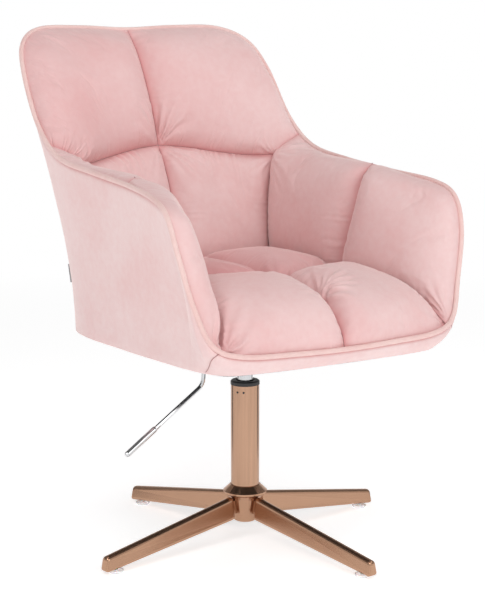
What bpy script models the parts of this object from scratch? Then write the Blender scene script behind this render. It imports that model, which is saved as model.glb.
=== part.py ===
"""Styling chair: a padded velvet bucket seat on a gas lift column with a four-arm base.

Metres, +Z up. The front of the chair faces -Y and the sitter's left is +X. The shapes are
modelled about the column's axis; the empty chair_frame carries them all, and sets that axis
COLUMN_Y from the origin, so that the origin is below the middle of the whole chair.
"""

import math

import bmesh
import bpy
import numpy as np

# ---- driving dimensions ----
GAP = 0.0003  # clearance between pieces that touch
COLUMN_Y = -0.0489  # the column's axis, from the middle of the chair

ARM_ANGLE = math.radians(8.6)  # the first base arm, from +X
ARM_REACH = 0.3155  # column axis to the tip of a base arm
ARM_ROOT = 0.0315  # column axis to the start of an arm's bar
ARM_ROUND = 0.0062  # radius of the bar's edges
TENON = (0.030, 0.009, 0.024)  # the narrow block between an arm's bar and the hub
TENON_Z = 0.0620  # its middle
GLIDE_REACH = 0.2895  # column axis to a foot glide
GLIDE_R = 0.013
GLIDE_TOP = 0.0046  # underside of an arm's tip, less the gap
RIVET_ANGLES = (204.5, 230.5)  # degrees round the tube
RIVET_Z = 0.2680

TUBE_R = 0.025  # the standard 50 mm stand tube
TUBE_WALL = 0.0018
TUBE_FOOT = 0.0446
TUBE_TOP = 0.2786
COLLAR_TOP = 0.2866
CYLINDER_R = 0.014  # the standard 28 mm gas cylinder
CYLINDER_WALL = 0.0025
CYLINDER_FOOT = 0.0700
CYLINDER_TOP = 0.3330
TAPER = 0.0013  # the cylinder's cone: less radius at its top, over TAPER_LENGTH
TAPER_LENGTH = 0.0450
ROD_R = 0.005
ROD_TOP = 0.2400
VALVE_R = 0.004
VALVE_TOP = 0.3383  # low enough for the lever's blade to tip without cutting into it
VALVE_LENGTH = 0.0145

HOUSING = (0.094, 0.050)  # the mechanism's channel, along X and Y
HOUSING_FLOOR = 0.3336
SHEET = 0.0018  # steel sheet of the channel
PIVOT_X = -0.0287  # lever pivot, from the column's axis
PIVOT_Z = 0.3440
LEVER_R = 0.0038
LEVER_PATH = [(-0.0473, 0, 0.3440), (-0.0845, 0, 0.3440), (-0.0868, 0, 0.2880), (-0.2370, 0, 0.1860)]
GRIP_LENGTH = 0.0660
PLATE_Z = 0.3553  # underside of the mounting plate
PLATE = (0.150, 0.140, 0.0030)
BOLT_PITCH = (0.120, 0.110)
BOLT_R = 0.003

DUST_Z = 0.3587  # underside of the dust cover
DUST_THICK = 0.0012
BOARD_Z = 0.3664  # underside of the seat board
BOARD_THICK = 0.0120
BOARD_INSET = 0.0115  # from the shell's foot line
COVER_INSET = 0.0120
SHELL_THICK = 0.0080
SHELL_FOOT = 0.3650
FRONT_START = 10.5  # station on RIM from which the shell's wall fills out to the rim's line
FRONT_SPAN = 1.5  # stations over which it does
FRONT_FULLNESS = 0.9
WALL_KNEE = 0.36  # how far up the shell's wall stays upright, as a share of its height
PIPING_R = 0.0042
TAB_Z = 0.4670
TAB_SIZE = (0.0042, 0.0012, 0.0330)
TAB_STATION = 4.5  # station on FOOT at the rear corner where the tab stands
TAB_OFF = 0.0012  # from the shell to the tab

SEGMENTS = 32  # round a turned piece
SHELL_ROWS = 6  # from the rim down to the foot
SPAN_STEPS = 2  # stations between two points of a plan line

# Half of the shell's rim, from the middle of the back to the middle of the front.
RIM = [
    (0.000, 0.406, 0.889),
    (0.100, 0.403, 0.893),
    (0.190, 0.390, 0.891),
    (0.240, 0.358, 0.866),
    (0.260, 0.316, 0.814),
    (0.266, 0.252, 0.726),
    (0.267, 0.176, 0.675),
    (0.262, 0.062, 0.657),
    (0.264, -0.062, 0.645),
    (0.280, -0.168, 0.633),
    (0.286, -0.216, 0.611),
    (0.282, -0.240, 0.556),
    (0.263, -0.255, 0.474),
    (0.239, -0.272, 0.414),
    (0.191, -0.284, 0.394),
    (0.100, -0.292, 0.390),
    (0.000, -0.293, 0.388),
]
# The shell's foot below each of those points.
FOOT = [
    (0.000, 0.272),
    (0.070, 0.272),
    (0.130, 0.269),
    (0.172, 0.257),
    (0.202, 0.234),
    (0.222, 0.200),
    (0.232, 0.150),
    (0.236, 0.055),
    (0.236, -0.060),
    (0.234, -0.145),
    (0.231, -0.185),
    (0.228, -0.215),
    (0.219, -0.243),
    (0.205, -0.261),
    (0.175, -0.271),
    (0.090, -0.278),
    (0.000, -0.279),
]
# Where the inner upholstery meets the seat, for the same stations up to the arm's front end.
SEAT_EDGE = [
    (0.000, 0.205, 0.455),
    (0.070, 0.206, 0.455),
    (0.130, 0.206, 0.455),
    (0.165, 0.204, 0.455),
    (0.186, 0.190, 0.455),
    (0.194, 0.165, 0.455),
    (0.199, 0.120, 0.453),
    (0.202, 0.040, 0.450),
    (0.203, -0.060, 0.446),
    (0.205, -0.150, 0.440),
    (0.208, -0.190, 0.434),
    (0.213, -0.222, 0.428),
    (0.221, -0.250, 0.420),
    (0.226, -0.266, 0.408),
]
# Control points of the inner upholstery's curve between the rim and the seat.
PAD_KNEE = [
    (0.000, 0.268, 0.690),
    (0.070, 0.268, 0.690),
    (0.130, 0.262, 0.685),
    (0.165, 0.250, 0.680),
    (0.175, 0.232, 0.665),
    (0.180, 0.200, 0.645),
    (0.192, 0.150, 0.660),
    (0.204, 0.055, 0.668),
    (0.204, -0.062, 0.657),
    (0.212, -0.158, 0.642),
    (0.222, -0.205, 0.620),
    (0.228, -0.232, 0.565),
    (0.226, -0.252, 0.480),
    (0.222, -0.264, 0.424),
]
# Half of the seat cushion in plan, from its back to its front.
CUSHION_PLAN = [
    (0.000, 0.194),
    (0.090, 0.196),
    (0.145, 0.194),
    (0.172, 0.180),
    (0.185, 0.148),
    (0.191, 0.040),
    (0.194, -0.080),
    (0.196, -0.170),
    (0.197, -0.215),
    (0.186, -0.248),
    (0.150, -0.263),
    (0.080, -0.269),
    (0.000, -0.270),
]
CORNER_STATION = 5.0  # the seam between back and arm
ARM_SEAM_STATION = 7.5  # the seam half way along the arm
ARM_END_STATION = 12.0  # where the arm's padding runs out
BACK_SPLIT = 0.47  # the back's level seam, as a share of the way down to the seat
PAD_FOOT = 0.4000  # underside of the back and arm pads
PAD_FOOT_WIDTH = 0.0100
PAD_ROWS = 5
SEAM_GAP = 0.0015  # between neighbouring pads
LEVEL_GAP = 0.008  # half the gap at the level seam, as a share of the way down
LINING_START = 0.0210  # from the rim to the padding's upper edge
PAD_CLEAR = 0.0040  # between the soft pads and the shell behind them


# ---- scene and objects ----
def clear_scene():
    for obj in list(bpy.data.objects):
        bpy.data.objects.remove(obj)


def make_collection(name):
    collection = bpy.data.collections.new(name)
    bpy.context.scene.collection.children.link(collection)
    return collection


def make_material(name, colour, roughness, metallic=0.0, alpha=1.0):
    material = bpy.data.materials.new(name)
    material.use_nodes = True
    shader = material.node_tree.nodes["Principled BSDF"]
    shader.inputs["Base Color"].default_value = (*colour, 1.0)
    shader.inputs["Roughness"].default_value = roughness
    shader.inputs["Metallic"].default_value = metallic
    shader.inputs["Alpha"].default_value = alpha
    return material


def add_empty(name, parent, location=(0, 0, 0)):
    empty = bpy.data.objects.new(name, None)
    empty.parent = parent
    empty.location = location
    CHAIR.objects.link(empty)
    return empty


def add_object(name, data, material, parent, location=(0, 0, 0)):
    obj = bpy.data.objects.new(name, data)
    obj.parent = parent
    obj.location = location
    data.materials.append(material)
    CHAIR.objects.link(obj)
    return obj


def as_cutter(obj):
    """Takes obj out of the chair and leaves it as a Boolean tool."""
    CHAIR.objects.unlink(obj)
    CUTTERS.objects.link(obj)
    obj.hide_render = True
    obj.display_type = "WIRE"
    return obj


def cut(obj, *cutters):
    for cutter in cutters:
        boolean = obj.modifiers.new("cut", "BOOLEAN")
        boolean.operation = "DIFFERENCE"
        boolean.solver = "EXACT"
        boolean.object = cutter


def mesh_from(name, build):
    """A mesh whose faces build(bm) makes."""
    mesh = bpy.data.meshes.new(name)
    bm = bmesh.new()
    build(bm)
    bm.to_mesh(mesh)
    bm.free()
    return mesh


# ---- shapes ----
def turned(name, profile, material, parent, location=(0, 0, 0), steps=SEGMENTS):
    """A body turned about Z. The profile runs down the outer side; it ends on the axis, or
    closes on itself where the piece is a ring."""
    closed = profile[0][0] > 0 or profile[-1][0] > 0

    def build(bm):
        verts = [bm.verts.new((r, 0, z)) for r, z in profile]
        pairs = list(zip(verts, verts[1:]))
        if closed:
            pairs.append((verts[-1], verts[0]))
        for pair in pairs:
            bm.edges.new(pair)

    obj = add_object(name, mesh_from(name, build), material, parent, location)
    screw = obj.modifiers.new("turn", "SCREW")
    screw.axis = "Z"
    screw.steps = steps
    screw.render_steps = steps
    screw.use_merge_vertices = True
    screw.merge_threshold = 0.00001
    screw.use_smooth_shade = True
    return obj


def disc(name, radius, low, high, material, parent, location=(0, 0, 0), hole=0.0, steps=SEGMENTS):
    if hole > 0:
        profile = [(radius, high), (radius, low), (hole, low), (hole, high)]
    else:
        profile = [(0, high), (radius, high), (radius, low), (0, low)]
    return turned(name, profile, material, parent, location, steps)


def block(name, size, centre, material, parent, location=(0, 0, 0)):
    """A box from a cube primitive, with its size and centre in its own mesh."""

    def build(bm):
        bmesh.ops.create_cube(bm, size=1.0)
        bmesh.ops.scale(bm, vec=size, verts=bm.verts)
        bmesh.ops.translate(bm, vec=centre, verts=bm.verts)

    return add_object(name, mesh_from(name, build), material, parent, location)


def rod_mesh(name, points, radius, sides=12):
    """The mesh of a round bar along points, with welded end caps."""
    curve = bpy.data.curves.new(name, "CURVE")
    curve.dimensions = "3D"
    curve.bevel_depth = radius
    curve.bevel_resolution = sides // 4 - 1
    curve.use_fill_caps = True
    spline = curve.splines.new("POLY")
    spline.points.add(len(points) - 1)
    for point, place in zip(spline.points, points):
        point.co = (*place, 1.0)
    obj = bpy.data.objects.new(name, curve)
    bpy.context.scene.collection.objects.link(obj)
    mesh = bpy.data.meshes.new_from_object(obj.evaluated_get(bpy.context.evaluated_depsgraph_get()))
    bpy.data.objects.remove(obj)
    bm = bmesh.new()
    bm.from_mesh(mesh)
    bmesh.ops.remove_doubles(bm, verts=bm.verts, dist=0.00001)
    bm.to_mesh(mesh)
    bm.free()
    return mesh


def rod(name, points, radius, material, parent, location=(0, 0, 0), sides=12):
    return add_object(name, rod_mesh(name, points, radius, sides), material, parent, location)


def sheet(name, outline, holes, low, thickness, material, parent):
    """A flat plate from a 2D curve: an outline and round holes (x, y, radius)."""
    curve = bpy.data.curves.new(name, "CURVE")
    curve.dimensions = "2D"
    curve.fill_mode = "BOTH"
    curve.extrude = thickness / 2
    loops = [outline]
    loops += [circle(radius, (x, y), 16) for x, y, radius in holes]
    for loop in loops:
        spline = curve.splines.new("POLY")
        spline.points.add(len(loop) - 1)
        for point, (x, y) in zip(spline.points, loop):
            point.co = (x, y, 0.0, 1.0)
        spline.use_cyclic_u = True
    return add_object(name, curve, material, parent, (0, 0, low + thickness / 2))


def loft(name, rings, material, parent, ends_meet=False):
    """A closed skin over rings of points. Either the last ring joins the first, or both ends
    are capped."""

    def build(bm):
        rows = [[bm.verts.new(point) for point in ring] for ring in rings]
        pairs = list(zip(rows, rows[1:]))
        if ends_meet:
            pairs.append((rows[-1], rows[0]))
        else:
            bm.faces.new(rows[0])
            bm.faces.new(rows[-1])
        for row, ahead in pairs:
            for i in range(len(row)):
                j = (i + 1) % len(row)
                bm.faces.new((row[i], row[j], ahead[j], ahead[i]))
        bmesh.ops.recalc_face_normals(bm, faces=bm.faces)

    return add_object(name, mesh_from(name, build), material, parent)


# ---- curves in plan and in space ----
def circle(radius, centre=(0, 0), count=SEGMENTS):
    angles = [2 * math.pi * i / count for i in range(count)]
    return [(centre[0] + radius * math.cos(a), centre[1] + radius * math.sin(a)) for a in angles]


def at_station(points, station):
    """The Catmull-Rom curve through points, read at a station between 0 and the last index.
    Past an end on the chair's middle plane, the curve mirrors in X."""
    pts = np.array(points, float)
    mirror = np.ones(pts.shape[1])
    mirror[0] = -1
    last = len(pts) - 1
    low = min(int(station), last - 1)
    share = station - low
    before = pts[low - 1] if low > 0 else pts[1] * mirror
    after = pts[low + 2] if low + 2 <= last else pts[last - 1] * mirror
    if abs(pts[last][0]) > 1e-9 and low + 2 > last:
        after = 2 * pts[last] - pts[last - 1]
    a, b = pts[low], pts[low + 1]
    return (
        a
        + 0.5 * share * (b - before)
        + share**2 * (before - 2.5 * a + 2 * b - 0.5 * after)
        + share**3 * (1.5 * (a - b) + 0.5 * (after - before))
    )


def inward_at(points, station):
    """Unit plan vector from the shell's wall towards the middle of the chair."""
    last = len(points) - 1.0
    ahead = at_station(points, min(station + 0.05, last))
    behind = at_station(points, max(station - 0.05, 0.0))
    along = (ahead - behind)[:2]
    normal = np.array([along[1], -along[0]]) / np.hypot(*along)
    return normal if normal @ at_station(points, station)[:2] < 0 else -normal


def foot_point(station, inset):
    return at_station(FOOT, station) + inset * inward_at(FOOT, station)


def by_length(curve, distances):
    """Points of a finely drawn curve at the given distances along it."""
    steps = np.linalg.norm(np.diff(curve, axis=0), axis=1)
    along = np.concatenate([[0], np.cumsum(steps)])
    return np.stack([np.interp(distances, along, curve[:, k]) for k in range(3)], axis=1)


def bezier(a, b, c, count=41):
    t = np.linspace(0, 1, count)[:, None]
    return a * (1 - t) ** 2 + 2 * b * t * (1 - t) + c * t**2


def rim_clearance(station, wall_down):
    """How far down the wall the piping reaches, where the rim runs at a slant to it."""
    last = len(RIM) - 1.0
    ahead = at_station(RIM, min(station + 0.05, last))
    behind = at_station(RIM, max(station - 0.05, 0.0))
    along = (ahead - behind) / np.linalg.norm(ahead - behind)
    slant = np.linalg.norm(np.cross(along, wall_down / np.linalg.norm(wall_down)))
    return (PIPING_R + 0.0008) / slant


def wall(station, inset, rows, low=SHELL_FOOT):
    """Points of the shell's wall, moved inwards by inset, from below the piping down to low."""
    rim = at_station(RIM, station)
    foot = np.array([*at_station(FOOT, station), SHELL_FOOT])
    spread = FRONT_FULLNESS * np.clip((station - FRONT_START) / FRONT_SPAN, 0, 1)
    out = spread * (rim - foot) * np.array([1, 1, 0])
    knee = foot + out + np.array([0, 0, WALL_KNEE * (rim[2] - SHELL_FOOT)])
    curve = bezier(rim, knee, foot)
    start = rim_clearance(station, curve[1] - curve[0])
    inward = np.array([*inward_at(FOOT, station), 0.0])
    down = np.gradient(curve, axis=0)
    normals = inward - down * (down @ inward)[:, None] / (down**2).sum(1)[:, None]
    curve = curve + inset * normals / np.linalg.norm(normals, axis=1)[:, None]
    steps = np.linalg.norm(np.diff(curve, axis=0), axis=1)
    along = np.concatenate([[0], np.cumsum(steps)])
    end = np.interp(-low, -curve[:, 2], along)
    return by_length(curve, np.linspace(start, end, rows + 1))


def lining(station, start, end, rows):
    """Points of the inner upholstery between two shares of its way from the rim to the seat."""
    rim, seat = at_station(RIM, station), at_station(SEAT_EDGE, station)
    inward = np.array([*inward_at(FOOT, station), 0.0])
    curve = bezier(rim + inward * LINING_START, at_station(PAD_KNEE, station), seat)
    length = np.linalg.norm(np.diff(curve, axis=0), axis=1).sum()
    return by_length(curve, np.linspace(start, end, rows + 1) * length)


def mirrored(points):
    return np.array(points) * np.array([-1, 1, 1])


def all_round(section):
    """section(station) at every station of the +X half and of its mirror image."""
    count = (len(RIM) - 1) * SPAN_STEPS
    right = [np.array(section(i / SPAN_STEPS)) for i in range(count + 1)]
    return right + [mirrored(row) for row in right[-2:0:-1]]


def rounded(points, radius, steps=5):
    """The line through points with each inner corner turned into a smooth bend."""
    pts = [np.array(p, float) for p in points]
    line = [pts[0]]
    for before, corner, after in zip(pts, pts[1:], pts[2:]):
        back = (before - corner) / np.linalg.norm(before - corner)
        ahead = (after - corner) / np.linalg.norm(after - corner)
        line += list(bezier(corner + radius * back, corner, corner + radius * ahead, steps))
    return line + [pts[-1]]


# ---- base and stand tube ----
def hub_profile(grow=0.0):
    """The hub's outer line, top to bottom: a cone shoulder over a barrel that tapers down."""
    line = [(0.0272, 0.0995), (0.0390, 0.0885), (0.0390, 0.0855), (0.0345, 0.0825)]
    line += [(0.0290, 0.0750), (0.0272, 0.0660), (0.0240, 0.0520), (0.0216, 0.0400)]
    line += [(0.0205, 0.0355), (0.0175, 0.0335)]
    return [(r + grow, z) for r, z in line]


def base_hub(parent):
    bore = [(0.0125, 0.0335), (0.0125, 0.0390), (0.0172, 0.0440)]
    bore += [(TUBE_R + GAP, 0.0675), (TUBE_R + GAP, 0.0995)]
    return turned("base_hub", hub_profile() + bore, ROSE_GOLD, parent)


def hub_cutter(parent):
    line = hub_profile(GAP)
    profile = [(0, 0.11), (line[0][0], 0.11)] + line + [(line[-1][0], 0.02), (0, 0.02)]
    return as_cutter(turned("hub_cutter", profile, ROSE_GOLD, parent))


def arm_mesh(name):
    """A bar that tapers down to its tip, all its edges rounded."""
    # (reach, half width, height) of the lower and upper corners at the root, then at the tip
    corners = [(ARM_ROOT, 0.0125, 0.0415), (ARM_ROOT, 0.0070, 0.0815)]
    corners += [(ARM_REACH, 0.0118, GLIDE_TOP + GAP), (ARM_REACH - 0.0015, 0.0068, 0.0310)]

    def build(bm):
        cube = bmesh.ops.create_cube(bm, size=1.0)
        for vert in cube["verts"]:
            end, level = int(vert.co.x > 0), int(vert.co.z > 0)
            reach, half_width, height = corners[2 * end + level]
            vert.co = (reach, math.copysign(half_width, vert.co.y), height)
        bmesh.ops.bevel(
            bm, geom=list(bm.edges), offset=ARM_ROUND, segments=4, profile=0.5, affect="EDGES"
        )

    return mesh_from(name, build)


def tenon_mesh(name):
    """A narrow block that carries the bar's root to the hub's barrel."""

    def build(bm):
        bmesh.ops.create_cube(bm, size=1.0)
        bmesh.ops.scale(bm, vec=TENON, verts=bm.verts)
        bmesh.ops.translate(bm, vec=(ARM_ROOT, 0, TENON_Z), verts=bm.verts)

    return mesh_from(name, build)


def base_arm(number, parent, cutter):
    turn = add_empty(f"arm_turn_{number}", parent)
    turn.rotation_euler.z = ARM_ANGLE + (number - 1) * math.pi / 2
    tenon = as_cutter(add_object(f"tenon_{number}", tenon_mesh("tenon"), ROSE_GOLD, turn))
    arm = add_object(f"base_arm_{number}", arm_mesh("arm"), ROSE_GOLD, turn)
    join = arm.modifiers.new("tenon", "BOOLEAN")
    join.operation = "UNION"
    join.object = tenon
    glide_place = (GLIDE_REACH, 0, 0)
    stem = as_cutter(disc(f"stem_{number}", 0.0043, -0.001, 0.018, ROSE_GOLD, turn, glide_place))
    cut(arm, cutter, stem)
    glide = [(0, 0.0160), (0.0040, 0.0160), (0.0040, GLIDE_TOP), (GLIDE_R, GLIDE_TOP)]
    glide += [(GLIDE_R, 0.0018), (GLIDE_R - 0.0020, 0.0), (0, 0.0)]
    turned(f"foot_glide_{number}", glide, CLEAR_PLASTIC, turn, glide_place, steps=24)


def stand_tube(parent):
    inner = TUBE_R - TUBE_WALL
    profile = [(TUBE_R, TUBE_TOP), (TUBE_R, 0.0690), (0.0165, TUBE_FOOT)]
    profile += [(0.0165 - TUBE_WALL, TUBE_FOOT), (inner, 0.0690), (inner, TUBE_TOP)]
    turned("column_tube", profile, ROSE_GOLD, parent)


def guide_bushing(parent):
    """A long plastic sleeve in the tube, and the black collar that closes the tube's mouth."""
    outer, inner = TUBE_R - TUBE_WALL - GAP, CYLINDER_R + GAP
    disc("guide_bushing", outer, 0.1650, TUBE_TOP, BLACK_PLASTIC, parent, hole=inner)
    collar = [(0.0235, COLLAR_TOP), (0.0256, COLLAR_TOP - 0.0020), (0.0256, TUBE_TOP + GAP)]
    collar += [(inner, TUBE_TOP + GAP), (inner, COLLAR_TOP - 0.0030), (0.0175, COLLAR_TOP)]
    turned("column_collar", collar, BLACK_PLASTIC, parent)


def bushing_rivets(parent):
    """Two small domed pins that hold the bushing, just below the tube's mouth."""
    for number, angle in enumerate(RIVET_ANGLES, 1):
        turn = add_empty(f"rivet_turn_{number}", parent, (0, 0, RIVET_Z))
        turn.rotation_euler.z = math.radians(angle)
        tilt = add_empty(f"rivet_tilt_{number}", turn, (TUBE_R, 0, 0))
        tilt.rotation_euler.y = math.pi / 2
        dome = [(0, 0.0011), (0.0013, 0.0008), (0.0019, 0.00035), (0, 0.00035)]
        turned(f"bushing_rivet_{number}", dome, DARK_STEEL, tilt, steps=12)


def rod_bearing(parent):
    """What holds the piston rod at the tube's foot: plate, clip, ball race and washers."""
    bore = ROD_R + GAP
    disc("tube_end_plate", 0.0155, 0.0485, 0.0510, STEEL, parent, hole=bore, steps=24)
    disc("retaining_clip", 0.0095, 0.0462, 0.0482, STEEL, parent, hole=bore, steps=16)
    disc("race_washer", 0.0120, 0.0513, 0.0528, STEEL, parent, hole=bore, steps=24)
    angles = [-2 * math.pi * i / 8 for i in range(8)]
    race = [(0.0085 + 0.0019 * math.cos(a), 0.0550 + 0.0019 * math.sin(a)) for a in angles]
    turned("ball_race", race, STEEL, parent, steps=24)
    disc("top_washer", 0.0120, 0.0572, 0.0587, STEEL, parent, hole=bore, steps=24)
    disc("rubber_buffer", 0.0125, 0.0590, 0.0680, RUBBER, parent, hole=bore + 0.0005, steps=24)


# ---- gas lift and mechanism ----
def gas_lift(swivel, seat, valve):
    disc("piston_rod", ROD_R, 0.0440, ROD_TOP, CHROME, swivel, steps=24)
    bore = CYLINDER_R - CYLINDER_WALL
    head = (bore - GAP, ROD_TOP + GAP, ROD_TOP + 0.0120)
    disc("piston_head", *head, BLACK_PLASTIC, swivel, steps=24)
    pin_hole = VALVE_R + GAP
    pin_seat = VALVE_TOP - VALVE_LENGTH - 0.0045
    profile = [(0, pin_seat), (pin_hole, pin_seat), (pin_hole, CYLINDER_TOP)]
    profile += [(CYLINDER_R - TAPER, CYLINDER_TOP), (CYLINDER_R, CYLINDER_TOP - TAPER_LENGTH)]
    profile += [(CYLINDER_R, CYLINDER_FOOT), (ROD_R + GAP, CYLINDER_FOOT)]
    profile += [(ROD_R + GAP, CYLINDER_FOOT + 0.010), (bore, CYLINDER_FOOT + 0.010)]
    profile += [(bore, pin_seat - 0.012), (0, pin_seat - 0.012)]
    turned("gas_cylinder", profile, CHROME, seat)
    disc("valve_pin", VALVE_R, -VALVE_LENGTH, 0.0, STEEL, valve, steps=16)


def gas_socket(parent):
    """The tapered socket under the channel that grips the cylinder's cone."""
    low, high = 0.3000, HOUSING_FLOOR - GAP
    top_bore = CYLINDER_R - TAPER + GAP
    low_bore = CYLINDER_R - TAPER * (1 - (CYLINDER_TOP - low) / TAPER_LENGTH) + GAP
    profile = [(0.0210, high), (0.0210, high - 0.003), (0.0185, high - 0.006), (0.0175, low)]
    profile += [(low_bore, low), (top_bore, high)]
    turned("gas_socket", profile, DARK_STEEL, parent, steps=24)


def mechanism(parent):
    """The channel under the plate that carries the lever, and the lever's pivot pin."""
    length, width = HOUSING
    high = PLATE_Z - GAP
    tall = high - HOUSING_FLOOR
    middle = HOUSING_FLOOR + tall / 2
    housing = block("lever_housing", (length, width, tall), (0, 0, middle), DARK_STEEL, parent)
    inside = (length + 0.01, width - 2 * SHEET, tall)
    room = as_cutter(block("room", inside, (0, 0, middle + SHEET), DARK_STEEL, parent))
    hole = as_cutter(disc("hole", 0.0135, 0.32, middle, DARK_STEEL, parent, steps=24))
    pivot = add_empty("pivot_pin_axis", parent, (PIVOT_X, 0, PIVOT_Z))
    pivot.rotation_euler.x = math.pi / 2
    reach = width / 2 + 0.0015
    bore = as_cutter(disc("pivot_bore", 0.0028, -0.04, 0.04, DARK_STEEL, pivot, steps=16))
    cut(housing, room, hole, bore)
    disc("lever_pivot_pin", 0.0025, -reach, reach, STEEL, pivot, steps=16)


def mounting_plate(parent):
    length, width, thick = PLATE
    x, y = BOLT_PITCH[0] / 2, BOLT_PITCH[1] / 2
    places = [(x, y), (-x, y), (-x, -y), (x, -y)]
    hole = BOLT_R + GAP
    holes = [(*place, hole) for place in places]
    corner = 0.012
    outline = []
    for number, (sx, sy) in enumerate([(1, 1), (-1, 1), (-1, -1), (1, -1)]):
        centre = (sx * (length / 2 - corner), sy * (width / 2 - corner))
        angles = [math.pi / 2 * (number + i / 4) for i in range(5)]
        outline += [(centre[0] + corner * math.cos(a), centre[1] + corner * math.sin(a))
                    for a in angles]
    sheet("mounting_plate", outline, holes, PLATE_Z, thick, DARK_STEEL, parent)
    for number, place in enumerate(places, 1):
        mounting_bolt(number, place, parent)
    return holes


def mounting_bolt(number, place, parent):
    """A bolt from below, through plate, cover and board, into a flanged nut above the board."""
    head_top = PLATE_Z - GAP
    profile = [(0, 0.3788), (BOLT_R, 0.3788), (BOLT_R, head_top), (0.0055, head_top)]
    profile += [(0.0055, head_top - 0.0030), (0.0045, head_top - 0.0040), (0, head_top - 0.0040)]
    turned(f"mount_bolt_{number}", profile, STEEL, parent, (*place, 0), steps=12)
    nut_low = BOARD_Z + BOARD_THICK + GAP
    disc(f"tee_nut_{number}", 0.0095, nut_low, nut_low + 0.0012, STEEL, parent, (*place, 0),
         hole=BOLT_R + GAP, steps=16)


def lever(parent):
    """The lever is modelled about its pivot: blade, bent rod, grip sleeve and end cap."""
    blade = block("lever_blade", (0.052, 0.012, 0.010), (0.0077, 0, 0), STEEL, parent)
    axis = add_empty("blade_bore_axis", parent)
    axis.rotation_euler.x = math.pi / 2
    bore = as_cutter(disc("blade_bore", 0.0028, -0.02, 0.02, STEEL, axis, steps=16))
    cut(blade, bore)
    offset = np.array([PIVOT_X, 0, PIVOT_Z])
    corners = [np.array(p) - offset for p in LEVER_PATH]
    rod("lever_rod", rounded(corners, 0.012), LEVER_R, CHROME, parent)
    slope = (corners[-1] - corners[-2]) / np.linalg.norm(corners[-1] - corners[-2])
    grip = add_empty("grip_axis", parent, corners[-1])
    grip.rotation_euler.y = math.atan2(slope[0], slope[2])
    inner = LEVER_R + GAP
    sleeve = [(0.0050, 0.0), (0.0053, -0.030), (0.0050, -GRIP_LENGTH + 0.002)]
    sleeve += [(0.0044, -GRIP_LENGTH), (inner, -GRIP_LENGTH), (inner, 0.0)]
    turned("lever_grip", sleeve, CHROME, grip, steps=24)
    cap = [(0, 0.0050), (0.0032, 0.0042), (0.0049, 0.0022), (0.0052, GAP), (0, GAP)]
    turned("lever_cap", cap, CHROME, grip, steps=24)


# ---- seat ----
def plan_outline(inset):
    return [tuple(p[:2]) for p in all_round(lambda s: [*foot_point(s, inset), 0.0])]


def seat_structure(parent, holes):
    """The plywood seat board and the thin cover stapled under it."""
    board, cover = plan_outline(BOARD_INSET), plan_outline(COVER_INSET)
    sheet("seat_board", board, holes, BOARD_Z, BOARD_THICK, PLYWOOD, parent)
    sheet("dust_cover", cover, holes, DUST_Z, DUST_THICK, BLACK_FABRIC, parent)


def shell_section(station):
    """The shell's cut from below the piping, down the wall, under the seat, and back up."""
    outer = wall(station, 0.0, SHELL_ROWS)
    inner = wall(station, SHELL_THICK, SHELL_ROWS, SHELL_FOOT + 0.003)
    lip = [(0.0060, 0.3618), (0.0260, 0.3602), (0.0260, 0.3622), (0.0100, 0.3650)]
    under = [(*foot_point(station, inset), z) for inset, z in lip]
    return np.concatenate([outer, under, inner[::-1]])


def outer_shell(parent):
    loft("outer_shell", all_round(shell_section), VELVET, parent, ends_meet=True)


def rim_piping(parent):
    line = all_round(lambda s: at_station(RIM, s))
    curve = bpy.data.curves.new("rim_piping", "CURVE")
    curve.dimensions = "3D"
    curve.bevel_depth = PIPING_R
    curve.bevel_resolution = 2
    spline = curve.splines.new("POLY")
    spline.points.add(len(line) - 1)
    spline.use_cyclic_u = True
    for point, place in zip(spline.points, line):
        point.co = (*place, 1.0)
    add_object("rim_piping", curve, PIPING, parent)


def pad_section(station, start, end):
    """A pad's cut: the side on the shell, then the upholstered side back up."""
    whole = wall(station, SHELL_THICK + PAD_CLEAR, 40, PAD_FOOT)
    back = by_length(whole, np.linspace(start, end, PAD_ROWS + 1) * curve_length(whole))
    front = lining(station, start, end, PAD_ROWS)
    if end == 1.0:
        foot = np.array([*at_station(SEAT_EDGE, station)[:2], PAD_FOOT])
        inward = np.array([*inward_at(FOOT, station), 0.0])
        if (foot - whole[-1]) @ inward < PAD_FOOT_WIDTH:
            foot = whole[-1] + PAD_FOOT_WIDTH * inward
        front = np.concatenate([front, [foot]])
    return np.concatenate([back, front[::-1]])


def curve_length(curve):
    return np.linalg.norm(np.diff(curve, axis=0), axis=1).sum()


def pad(name, stations, shares, parent, left):
    low, high = stations
    count = max(2, round((high - low) * SPAN_STEPS))
    rings = [pad_section(low + (high - low) * i / count, *shares) for i in range(count + 1)]
    if left:
        rings = [mirrored(ring) for ring in rings]
    loft(name, rings, VELVET, parent)


def pads(parent):
    """Back: two upper and two lower panels. Arms: a rear and a front panel on each side."""
    half = SEAM_GAP / 2
    middle = half / np.linalg.norm(at_station(RIM, 1.0) - at_station(RIM, 0.0))
    corner, arm, end = CORNER_STATION, ARM_SEAM_STATION, ARM_END_STATION
    for side, left in (("left", False), ("right", True)):
        back = (middle, corner - 0.04)
        pad(f"back_pad_upper_{side}", back, (0.0, BACK_SPLIT - LEVEL_GAP), parent, left)
        pad(f"back_pad_lower_{side}", back, (BACK_SPLIT + LEVEL_GAP, 1.0), parent, left)
        pad(f"arm_pad_rear_{side}", (corner + 0.04, arm - 0.01), (0.0, 1.0), parent, left)
        pad(f"arm_pad_front_{side}", (arm + 0.01, end), (0.0, 1.0), parent, left)


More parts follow.
